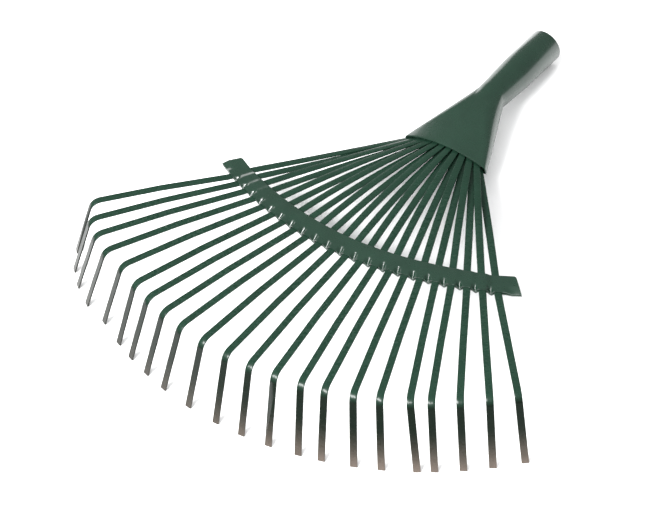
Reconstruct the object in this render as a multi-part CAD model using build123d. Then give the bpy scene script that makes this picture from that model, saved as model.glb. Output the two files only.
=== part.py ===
from build123d import *
from math import atan2, cos, radians, sin, sqrt, pi
import os

# Steel lawn rake head: 22 flat spring tines, a two-plate spreader and a stamped handle socket.
# Millimetres. Working frame: X across the rake, the socket's mouth at y = 0, the handle towards +Y,
# the tines towards -Y, the ground at z = 0. At the end everything moves to the footprint's centre.

# ---- tines ----
TINES = 22
TINE_W = 5.6              # bar width
ROOT_W = 5.0              # bar width pinched where the roots are bundled
TINE_T = 1.2              # bar thickness
FAN_HALF = 41.2           # heading of the outer tines from the centre line, degrees
FAN_EASE = 0.063          # outer tines stand slightly closer together than the middle ones
ROOT_HALF_W = 33.2        # outer tine's centre at the mouth
ROOT_Z = 27.1             # middle of the two layers of roots at the centre of the mouth
ROOT_ARCH = 7.0           # how much lower the outer roots are
ROOT_LAYERS = 2.15        # distance between the two layers
ROOT_DEPTH = 5.0          # length of root inside the socket
KNEE_REACH = 259.0        # mouth to the knee's corner, along the tine
KNEE_EASE = 8.3           # the outer tines are shorter by this
KNEE_Z = 48.6
KNEE_R = 10.0             # centre-line radius of the knee
TOOTH_OUT = 29.3          # the tip stands out past the knee by this
TOOTH_EASE = 5.3
BOW = 1.3                 # the upper leg bows up by this between spreader and knee
HUMP = 4.0                # the middle tines rise above a straight line between mouth and spreader
HUMP_SIDES = 4.8          # the outer ones rise less by this, so they sag a little
HUMP_AT = 0.45            # share of the way from mouth to spreader
# Tips that stand to the side of the even fan, in mm, as hand-bent teeth do. Tine number: offset to the right.
STRAY = {3: -3, 4: -3, 6: 4, 8: -2, 9: -4, 11: 4, 12: 4, 13: 4, 14: 5, 16: 2, 18: 4, 19: -5, 20: -5, 21: -4}
STRAY_KNEE = 0.5          # share of it already there at the knee
KNEE_STRAY = {20: 1.5, 21: 3.5, 22: 4}      # more sideways set of some knees
REACH_STRAY = {2: 5, 3: 6, 4: 5}            # how much farther out some teeth stand

# ---- spreader ----
SPREADER_REACH = 118.3    # mouth to the spreader's back edge, on the centre line
SPREADER_R = 295.0        # radius of the back edge
SPREADER_W = 15.4
SPREADER_FLAT = 9.6       # the plates are plain over this much of their width, from the back edge
SPREADER_Z = 38.9         # middle of the tines inside the spreader, on the centre line
SPREADER_ARCH = 4.6       # the outer tines are lower by this
BACK_HALF = 26.2          # half the angle of the plates' back edge about its centre, degrees
FRONT_HALF = 27.3         # and of the front edge
BACK_CORNER_R = 3.0
PLATE_T = 1.0
PLATE_PLAY = 0.2          # between a tine's flat and a plate
WAVE = 3.6                # depth of the upper plate's waves at the front edge
END_DROP = 0.6            # share of it that the front corners drop

# ---- socket ----
SHEET = 1.2
TUBE_R = 14.0             # outer radius of the cylindrical end
TUBE_CYL = 42.0           # length of the cylindrical end
WAIST_R = 12.3            # outer radius where the tube meets the skirt
TUBE_END = Vector(0, 138.3, 14.9)
WAIST = Vector(0, 64.0, 24.3)
SEAM = 0.8                # open seam under the tube
LIP = 6.5                 # width of skirt turned under at each side of the mouth
CLAMP_T = 1.2             # root clamp plate
CLAMP_L = 15.0
CLAMP_PLAY = 0.4          # between the lower roots and the plate

# Skirt stations from the waist to the mouth: y, half width, top z, bottom z, arch, shoulder and heel radius.
SKIRT = [
    (48.0, 18.4, 34.2, 13.4, 1.0, 11.0, 8.0),
    (26.0, 28.0, 32.0, 14.4, 3.6, 10.0, 5.0),
    (0.0, 38.7, 30.6, 15.1, 8.2, 4.4, 2.2),
]
WAIST_SPLITS = [-50, 50, 75, 105, 130, 230, 255, 285]   # where the round waist meets the skirt's eight strips

UP = Vector(0, 0, 1)
SPREADER_CENTRE_Y = SPREADER_R - SPREADER_REACH


def share(i):
    """Place of tine i across the fan: -1 for the left one, +1 for the right one."""
    return (2 * i - TINES - 1) / (TINES - 1)


def heading(w):
    return radians(FAN_HALF) * (w - FAN_EASE * (w ** 3 - w))


def at(w, s, z):
    """Point s mm outward from the mouth on the line of the tine at share w."""
    return Vector(ROOT_HALF_W * w + s * sin(heading(w)), -s * cos(heading(w)), z)


def reach(w, radius):
    """Distance along the line at share w from the mouth to a circle about the spreader's centre."""
    x, dx, dy = ROOT_HALF_W * w, sin(heading(w)), -cos(heading(w))
    b = x * dx - SPREADER_CENTRE_Y * dy
    return -b + sqrt(b * b - (x * x + SPREADER_CENTRE_Y ** 2 - radius * radius))


def spreader_z(w):
    return SPREADER_Z - SPREADER_ARCH * w ** 4


def bar(origin, forward, side, width=TINE_W):
    """Cross-section of a tine, square to forward."""
    return Plane(origin=origin, x_dir=side, z_dir=forward) * Rectangle(width, TINE_T)


def tine(i):
    w = share(i)
    forward = Vector(sin(heading(w)), -cos(heading(w)), 0)
    flat = Vector(cos(heading(w)), sin(heading(w)), 0)
    roll = atan2(2 * ROOT_ARCH * w, ROOT_HALF_W)
    rolled = flat * cos(roll) - UP * sin(roll)
    normal = UP * cos(roll) + flat * sin(roll)
    layer = ROOT_LAYERS / 2 if i % 2 else -ROOT_LAYERS / 2

    centre = at(w, 0, ROOT_Z - ROOT_ARCH * w * w)
    mouth = centre + normal * layer
    enter = at(w, reach(w, SPREADER_R) - 2, spreader_z(w))
    leave = at(w, reach(w, SPREADER_R + SPREADER_W) + 2, spreader_z(w))
    s_knee = KNEE_REACH - KNEE_EASE * w * w + REACH_STRAY.get(i, 0)
    aside = flat * STRAY.get(i, 0)
    knee = at(w, s_knee, KNEE_Z) + aside * STRAY_KNEE + flat * KNEE_STRAY.get(i, 0)
    tip = at(w, s_knee + TOOTH_OUT - TOOTH_EASE * w * w, TINE_T / 4) + aside

    root = extrude(bar(mouth - forward * ROOT_DEPTH, forward, rolled, ROOT_W), ROOT_DEPTH, dir=forward)
    hump = centre + (enter - centre) * HUMP_AT + UP * (HUMP - HUMP_SIDES * w * w + layer)
    half_rolled = rolled + (flat - rolled) * HUMP_AT
    twist = loft([bar(mouth, forward, rolled, ROOT_W), bar(hump, forward, half_rolled), bar(enter, forward, flat)])
    middle = (leave + knee) * 0.5 + UP * BOW
    legs = FilletPolyline(enter, leave, middle, knee, tip, radius=KNEE_R)
    return root + twist + sweep(bar(enter, forward, flat), path=legs)


def wave(t):
    """Depth of the wave at place t between two tines, 0 over a tine and 1 halfway to the next one."""
    return 0.0 if t < 0.25 or t > 0.75 else (1 - cos(4 * pi * (t - 0.25))) / 2


def even_spline(points):
    """Spline whose parameter runs evenly over its points, so that two of them rule point to point."""
    return Edge.make_spline(points, parameters=[k / (len(points) - 1) for k in range(len(points))])


def plate_end(radius):
    """Plan position of the plates' right end, on a straight line between its back and front corner."""
    corners = [(SPREADER_R, radians(BACK_HALF)), (SPREADER_R + SPREADER_W, radians(FRONT_HALF))]
    back, front = [Vector(r * sin(a), SPREADER_CENTRE_Y - r * cos(a), 0) for r, a in corners]
    return back + (front - back) * ((radius - SPREADER_R) / SPREADER_W)


def plate_edge(radius, offset, depth):
    """Edge of a plate's surface on a circle about the spreader's centre, waved between the tines."""
    steps = 12
    points = []
    for k in range((TINES - 1) * steps + 1):
        i, t = 1 + k // steps, (k % steps) / steps
        blend = (1 - cos(2 * pi * (min(max(t, 0.25), 0.75) - 0.25))) / 2
        level = spreader_z(share(i)) * (1 - blend) + spreader_z(share(i + 1)) * blend
        w = share(i + t)
        points.append(at(w, reach(w, radius), level + offset - depth * wave(t)))
    right_end = plate_end(radius) + UP * points[-1].Z
    ends = {-1: [], 1: []}
    for side, last in ((-1, points[0]), (1, points[-1])):
        end = Vector(side * right_end.X, right_end.Y, right_end.Z)
        for k in range(1, 13):
            drop = depth * END_DROP * wave(min(0.06 * k + 0.06, 0.5))
            ends[side].append(last + (end - last) * (k / 12) - UP * drop)
    return even_spline(ends[-1][::-1] + points + ends[1])


def solid_between(rims):
    """Solid closed by ruled faces around four edges, given in order around its section."""
    sides = [Face.make_surface_from_curves(a, b) for a, b in zip(rims, rims[1:] + rims[:1])]
    ends = [Face(Wire([Line(a @ t, b @ t) for a, b in zip(rims, rims[1:] + rims[:1])])) for t in (0, 1)]
    return Solid(Shell(sides + ends))


def spreader_plate(bottom, depth):
    """Curved strip whose underside is at bottom from the tines' middle. Its front edge is waved."""
    rows = [(SPREADER_R, 0), (SPREADER_R + SPREADER_FLAT, 0), (SPREADER_R + SPREADER_W, depth)]
    lower = [plate_edge(radius, bottom, drop) for radius, drop in rows]
    upper = [plate_edge(radius, bottom + PLATE_T, drop) for radius, drop in rows]
    strip = solid_between(lower + upper[::-1])
    corners = strip.edges().sort_by(SortBy.LENGTH)[:4]
    return fillet(corners.sort_by(Axis.Y)[2:], BACK_CORNER_R)


def skirt_section(y, half, top, bottom, arch, shoulder, heel, inset):
    """Closed outline of the skirt in the plane at y: arched top, straight sides, rounded corners."""
    a, high, low = half - inset, top - inset, bottom + inset
    sides = Polyline((-a, high - arch), (-a, low), (a, low), (a, high - arch))
    crown = ThreePointArc((a, high - arch), (0, high), (-a, high - arch))
    section = Face(Wire([*sides.edges(), crown]))
    section = fillet(section.vertices().sort_by(Axis.Y)[-2:], shoulder - inset)
    section = fillet(section.vertices().sort_by(Axis.Y)[:2], heel - inset)
    return Plane(origin=(0, y, 0), x_dir=(-1, 0, 0), z_dir=(0, 1, 0)) * section.face()


def socket_form(inset, spare):
    """The socket's outer form, or with an inset its hollow, which runs past the open ends by spare."""
    axis = (TUBE_END - WAIST).normalized()
    taper = (TUBE_END - WAIST).length - TUBE_CYL
    waist = Plane(origin=WAIST, x_dir=(-1, 0, 0), z_dir=axis)
    r = WAIST_R - inset
    ring = [Vector(r * sin(radians(a)), r * cos(radians(a))) for a in WAIST_SPLITS]
    between = [Vector(r * sin(radians(a)), r * cos(radians(a))) for a in
               [(p + q) / 2 for p, q in zip(WAIST_SPLITS, WAIST_SPLITS[1:] + [WAIST_SPLITS[0] + 360])]]
    arcs = [ThreePointArc(p, m, q) for p, m, q in zip(ring, between, ring[1:] + ring[:1])]
    sections = [waist * Face(Wire(arcs))] + [skirt_section(*station, inset) for station in SKIRT]
    up = (Align.CENTER, Align.CENTER, Align.MIN)
    cone = waist * Cone(r, TUBE_R - inset, taper, align=up)
    end = waist.offset(taper) * Cylinder(TUBE_R - inset, TUBE_CYL + spare, align=up)
    form = loft(sections) + cone + end
    if spare:
        form += extrude(sections[-1], spare, dir=(0, -1, 0))
    return form


def socket():
    shell = socket_form(0, 0) - socket_form(SHEET, 5)
    opening = SKIRT[-1][1] - LIP
    gap = make_face(Polyline((-SEAM / 2, 150), (-SEAM / 2, 56), (-opening, 0), (-opening, -5),
                             (opening, -5), (opening, 0), (SEAM / 2, 56), (SEAM / 2, 150), close=True))
    return shell - extrude(gap, 19.0, dir=(0, 0, 1)) - seam_cut()


def seam_cut():
    """Slot along the underside of the tube, from below up to the axis."""
    side = make_face(Polyline((50, -10), (50, WAIST.Z), (WAIST.Y, WAIST.Z), (150, 13.4), (150, -10), close=True))
    return Plane(origin=(-SEAM / 2, 0, 0), x_dir=(0, 1, 0), z_dir=(1, 0, 0)) * extrude(side, SEAM)


def root_surface(y, below):
    """Curve in the plane at y that lies below the middle of the two root layers."""
    points = []
    for k in range(-10, 11):
        w = k / 10
        roll = atan2(2 * ROOT_ARCH * w, ROOT_HALF_W)
        down = at(w, -y / cos(heading(w)), ROOT_Z - ROOT_ARCH * w * w)
        down -= UP * below / cos(roll)
        points.append(down)
    return even_spline(points)


def root_clamp_plate():
    """Arched plate under the lower layer of roots. Its edges stand on the skirt's turned-under lips."""
    top = ROOT_LAYERS / 2 + TINE_T / 2 + CLAMP_PLAY
    return solid_between([
        root_surface(0.5, top + CLAMP_T), root_surface(CLAMP_L, top + CLAMP_T),
        root_surface(CLAMP_L, top), root_surface(0.5, top),
    ])


def build():
    parts = {"socket": socket(), "root_clamp_plate": root_clamp_plate()}
    half = TINE_T / 2 + PLATE_PLAY
    parts["upper_spreader_plate"] = spreader_plate(half, WAVE)
    parts["lower_spreader_plate"] = spreader_plate(-half - PLATE_T, WAVE - 2 * half)
    for i in range(1, TINES + 1):
        parts[f"tine_{i:02d}"] = tine(i)
    return parts


def main():
    parts = build()
    boxes = [shape.bounding_box() for shape in parts.values()]
    back, front = max(b.max.Y for b in boxes), min(b.min.Y for b in boxes)
    to_origin = Pos(0, -(back + front) / 2, -min(b.min.Z for b in boxes))
    os.makedirs("parts", exist_ok=True)
    for name, shape in parts.items():
        export_step(to_origin * shape, f"parts/{name}.step")


main()
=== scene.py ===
from math import atan, cos, pi, radians, sin

import bpy
from mathutils import Matrix, Vector


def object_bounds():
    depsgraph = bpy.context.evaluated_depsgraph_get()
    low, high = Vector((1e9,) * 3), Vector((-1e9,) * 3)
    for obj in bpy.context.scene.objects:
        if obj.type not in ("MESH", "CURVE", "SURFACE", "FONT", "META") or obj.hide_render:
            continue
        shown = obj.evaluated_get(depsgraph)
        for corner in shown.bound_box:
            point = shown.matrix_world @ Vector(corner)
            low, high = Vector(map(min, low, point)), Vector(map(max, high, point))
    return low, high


# Steel lawn rake head in gloss green paint. Metres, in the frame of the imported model.

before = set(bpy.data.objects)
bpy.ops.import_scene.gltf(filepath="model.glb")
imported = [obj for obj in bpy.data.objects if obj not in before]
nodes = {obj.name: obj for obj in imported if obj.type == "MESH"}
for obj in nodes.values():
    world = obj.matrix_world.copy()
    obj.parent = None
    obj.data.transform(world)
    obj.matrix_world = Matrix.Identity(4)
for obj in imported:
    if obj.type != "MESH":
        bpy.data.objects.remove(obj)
cad_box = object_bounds()


# ---- shader nodes ----

def new_material(name):
    material = bpy.data.materials.new(name)
    material.use_nodes = True
    tree = material.node_tree
    return material, tree, tree.nodes["Principled BSDF"]


def add_node(tree, kind, **inputs):
    node = tree.nodes.new(kind)
    for key, value in inputs.items():
        node.inputs[key.replace("_", " ")].default_value = value
    return node


def noise(tree, coordinates, scale, detail=3.0):
    node = add_node(tree, "ShaderNodeTexNoise", Scale=scale, Detail=detail)
    tree.links.new(coordinates, node.inputs["Vector"])
    return node.outputs["Fac"]


def ramp(tree, value, stops):
    node = tree.nodes.new("ShaderNodeValToRGB")
    elements = node.color_ramp.elements
    while len(elements) < len(stops):
        elements.new(0.5)
    for element, (place, colour) in zip(elements, stops):
        element.position = place
        element.color = (*colour, 1)
    tree.links.new(value, node.inputs["Fac"])
    return node.outputs["Color"]


def map_range(tree, value, from_low, from_high, to_low, to_high):
    node = tree.nodes.new("ShaderNodeMapRange")
    tree.links.new(value, node.inputs["Value"])
    ends = {"From Min": from_low, "From Max": from_high, "To Min": to_low, "To Max": to_high}
    for key, number in ends.items():
        node.inputs[key].default_value = number
    return node.outputs["Result"]


def multiply(tree, a, b):
    node = tree.nodes.new("ShaderNodeMath")
    node.operation = "MULTIPLY"
    tree.links.new(a, node.inputs[0])
    tree.links.new(b, node.inputs[1])
    return node.outputs["Value"]


def mix_colours(tree, amount, first, second):
    """Goes from the first colour to the second. The numbers are the node's sockets in its colour mode."""
    node = tree.nodes.new("ShaderNodeMix")
    node.data_type = "RGBA"
    tree.links.new(amount, node.inputs[0])
    tree.links.new(first, node.inputs[6])
    node.inputs[7].default_value = (*second, 1)
    return node.outputs[2]


def reach_from_mouth(tree, parts):
    """Distance from the middle of the socket's mouth, measured flat along the ground."""
    flat = tree.nodes.new("ShaderNodeCombineXYZ")
    tree.links.new(parts.outputs["X"], flat.inputs["X"])
    tree.links.new(parts.outputs["Y"], flat.inputs["Y"])
    reach = tree.nodes.new("ShaderNodeVectorMath")
    reach.operation = "DISTANCE"
    tree.links.new(flat.outputs["Vector"], reach.inputs[0])
    reach.inputs[1].default_value = SOCKET_MOUTH
    return reach.outputs["Value"]


# ---- paint ----

GREEN_DARK, GREEN_LIGHT = (0.0085, 0.0255, 0.0160), (0.0105, 0.0310, 0.0195)
# painted shade: the dark green the lower legs take below the knee
TOOTH_PAINTED_SHADE = (0.003, 0.007, 0.004)
# painted reflection: warm grey of the bright floor mirrored in the teeth near the ground
FLOOR_REFLECTION_GREY = (0.125, 0.10, 0.085)
SHADE_SCALE = 45                      # noise scales, larger for finer patches
GLOSS_SCALE, GLOSS_SPREAD = 200, 0.08
RIPPLE_SCALE, RIPPLE_DEPTH = 500, 0.0004

SOCKET_MOUTH = (0, 0.07435, 0)
TEETH_FROM, TEETH_FULL = 0.250, 0.256       # reach from the mouth where the teeth begin
KNEE_TOP, KNEE_UNDER = 0.0470, 0.0435       # heights between which green turns to painted shade below the knee
REFLECTION_TOP = 0.030                            # height where the painted reflection of the floor starts
REFLECTION_PATCH_SCALE = 60
REFLECTION_SIDE, REFLECTION_LEFT = 0.12, 0.15           # painted reflection grows from this share at -X to all of it at +X
REFLECTION_PATCHY = 0.75                          # share of the painted reflection in its weakest patches
TOOTH_IOR = 1.27


def teeth_painted_shade_and_reflection(tree, place, colour):
    """Painted shade: darker below the knee. Painted reflection of the bright floor: warm grey towards the
    ground, most on the +X side.
    """
    parts = tree.nodes.new("ShaderNodeSeparateXYZ")
    tree.links.new(place, parts.inputs["Vector"])
    height = parts.outputs["Z"]
    outer = map_range(tree, reach_from_mouth(tree, parts), TEETH_FROM, TEETH_FULL, 0.0, 1.0)
    # painted shade: teeth darken below the knee
    knee_shade_mask = multiply(tree, outer, map_range(tree, height, KNEE_TOP, KNEE_UNDER, 0.0, 1.0))
    colour = mix_colours(tree, knee_shade_mask, colour, TOOTH_PAINTED_SHADE)
    low = map_range(tree, height, REFLECTION_TOP, 0.0, 0.0, 1.0)
    side = map_range(tree, parts.outputs["X"], -REFLECTION_SIDE, REFLECTION_SIDE, REFLECTION_LEFT, 1.0)
    patchy = map_range(tree, noise(tree, place, REFLECTION_PATCH_SCALE), 0.3, 0.7, REFLECTION_PATCHY, 1.0)
    painted_reflection = multiply(tree, multiply(tree, multiply(tree, low, low), side), patchy)
    # painted reflection of the floor, strongest towards the ground
    return mix_colours(tree, multiply(tree, painted_reflection, outer), colour, FLOOR_REFLECTION_GREY)


def paint_material(name, rough, coat, coat_rough, teeth=False):
    """Gloss enamel: slightly uneven green, orange-peel ripple and small changes of gloss."""
    material, tree, shader = new_material(name)
    place = tree.nodes.new("ShaderNodeTexCoord").outputs["Object"]
    colour = ramp(tree, noise(tree, place, SHADE_SCALE), [(0.3, GREEN_DARK), (0.7, GREEN_LIGHT)])
    if teeth:
        # teeth get painted shade below the knee and a painted floor reflection near the ground
        colour = teeth_painted_shade_and_reflection(tree, place, colour)
        shader.inputs["IOR"].default_value = TOOTH_IOR
    tree.links.new(colour, shader.inputs["Base Color"])
    stops = [(0.3, (rough,) * 3), (0.75, (rough + GLOSS_SPREAD,) * 3)]
    tree.links.new(ramp(tree, noise(tree, place, GLOSS_SCALE, 4), stops), shader.inputs["Roughness"])
    bump = add_node(tree, "ShaderNodeBump", Strength=0.05, Distance=RIPPLE_DEPTH)
    tree.links.new(noise(tree, place, RIPPLE_SCALE, 2), bump.inputs["Height"])
    tree.links.new(bump.outputs["Normal"], shader.inputs["Normal"])
    shader.inputs["Coat Weight"].default_value = coat
    shader.inputs["Coat Roughness"].default_value = coat_rough
    return material


EDGE_WIDTH = {"tine": 0.00025, "socket": 0.0005, "plate": 0.00035}
JOIN_WITHIN = 0.00001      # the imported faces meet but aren't joined, and a bevel needs them joined
EDGE_ANGLE = radians(50)

paint = paint_material("green_paint", rough=0.25, coat=0.4, coat_rough=0.10)
tooth_paint = paint_material("green_paint_teeth", rough=0.24, coat=0.12, coat_rough=0.08, teeth=True)

for name, node in nodes.items():
    node.data.materials.clear()
    node.data.materials.append(tooth_paint if name.startswith("tine") else paint)
    node.modifiers.new("joined_faces", "WELD").merge_threshold = JOIN_WITHIN
    bevel = node.modifiers.new("painted_edge", "BEVEL")
    bevel.width = next(width for word, width in EDGE_WIDTH.items() if word in name)
    bevel.segments = 2
    bevel.limit_method = "ANGLE"
    bevel.angle_limit = EDGE_ANGLE


# ---- floor and light ----

FLOOR_HALF = 6.0
FLOOR_WHITE, FLOOR_ROUGH = (0.93, 0.93, 0.935), 0.9


def make_floor():
    material, _, shader = new_material("floor_white")
    shader.inputs["Base Color"].default_value = (*FLOOR_WHITE, 1)
    shader.inputs["Roughness"].default_value = FLOOR_ROUGH
    mesh = bpy.data.meshes.new("floor")
    h = FLOOR_HALF
    mesh.from_pydata([(-h, -h, 0), (h, -h, 0), (h, h, 0), (-h, h, 0)], [], [(0, 1, 2, 3)])
    mesh.materials.append(material)
    floor = bpy.data.objects.new("floor", mesh)
    bpy.context.scene.collection.objects.link(floor)


def area_light(name, target, azimuth, elevation, distance, size, power):
    """Rectangular soft light. Azimuth is measured from -Y towards +X, in degrees like elevation."""
    light = bpy.data.lights.new(name, "AREA")
    light.shape = "RECTANGLE"
    light.size, light.size_y = size
    light.energy = power
    lamp = bpy.data.objects.new(name, light)
    a, e = radians(azimuth), radians(elevation)
    out = Vector((sin(a) * cos(e), -cos(a) * cos(e), sin(e)))
    lamp.location = target + out * distance
    lamp.rotation_euler = out.to_track_quat("Z", "Y").to_euler()
    bpy.context.scene.collection.objects.link(lamp)


def make_world(fill, reflected):
    """White surroundings that light the scene evenly but show only weakly in the gloss."""
    world = bpy.data.worlds.new("studio")
    world.use_nodes = True
    tree = world.node_tree
    background = tree.nodes["Background"]
    background.inputs["Color"].default_value = (1, 1, 1, 1)
    rays = tree.nodes.new("ShaderNodeLightPath").outputs["Is Glossy Ray"]
    tree.links.new(map_range(tree, rays, 0.0, 1.0, fill, reflected), background.inputs["Strength"])
    bpy.context.scene.world = world


make_floor()
middle = (Vector(cad_box[0]) + Vector(cad_box[1])) / 2
area_light("key", middle, azimuth=-13, elevation=50, distance=2.6, size=(1.6, 0.60), power=125)
area_light("back_left", middle, azimuth=-117, elevation=9, distance=3.0, size=(1.6, 1.0), power=12)
make_world(fill=1.4, reflected=0.26)


# ---- camera ----

CAMERA_PLACE = Vector((1.13181, -1.08862, 1.68332))
CAMERA_YAW, CAMERA_DOWN, CAMERA_ROLL = 0.8413, 0.8220, -0.2646     # radians
HALF_WIDTH_AT_ONE = 0.1075      # half the picture's width, one metre in front of the camera

camera = bpy.data.objects.new("camera", bpy.data.cameras.new("camera"))
bpy.context.scene.collection.objects.link(camera)
camera.data.sensor_fit = "HORIZONTAL"
camera.data.angle = 2 * atan(HALF_WIDTH_AT_ONE)
turn = Matrix.Rotation(CAMERA_YAW, 4, "Z") @ Matrix.Rotation(pi / 2 - CAMERA_DOWN, 4, "X")
camera.matrix_world = Matrix.Translation(CAMERA_PLACE) @ turn @ Matrix.Rotation(CAMERA_ROLL, 4, "Z")
bpy.context.scene.camera = camera
bpy.context.scene.view_settings.view_transform = "Standard"
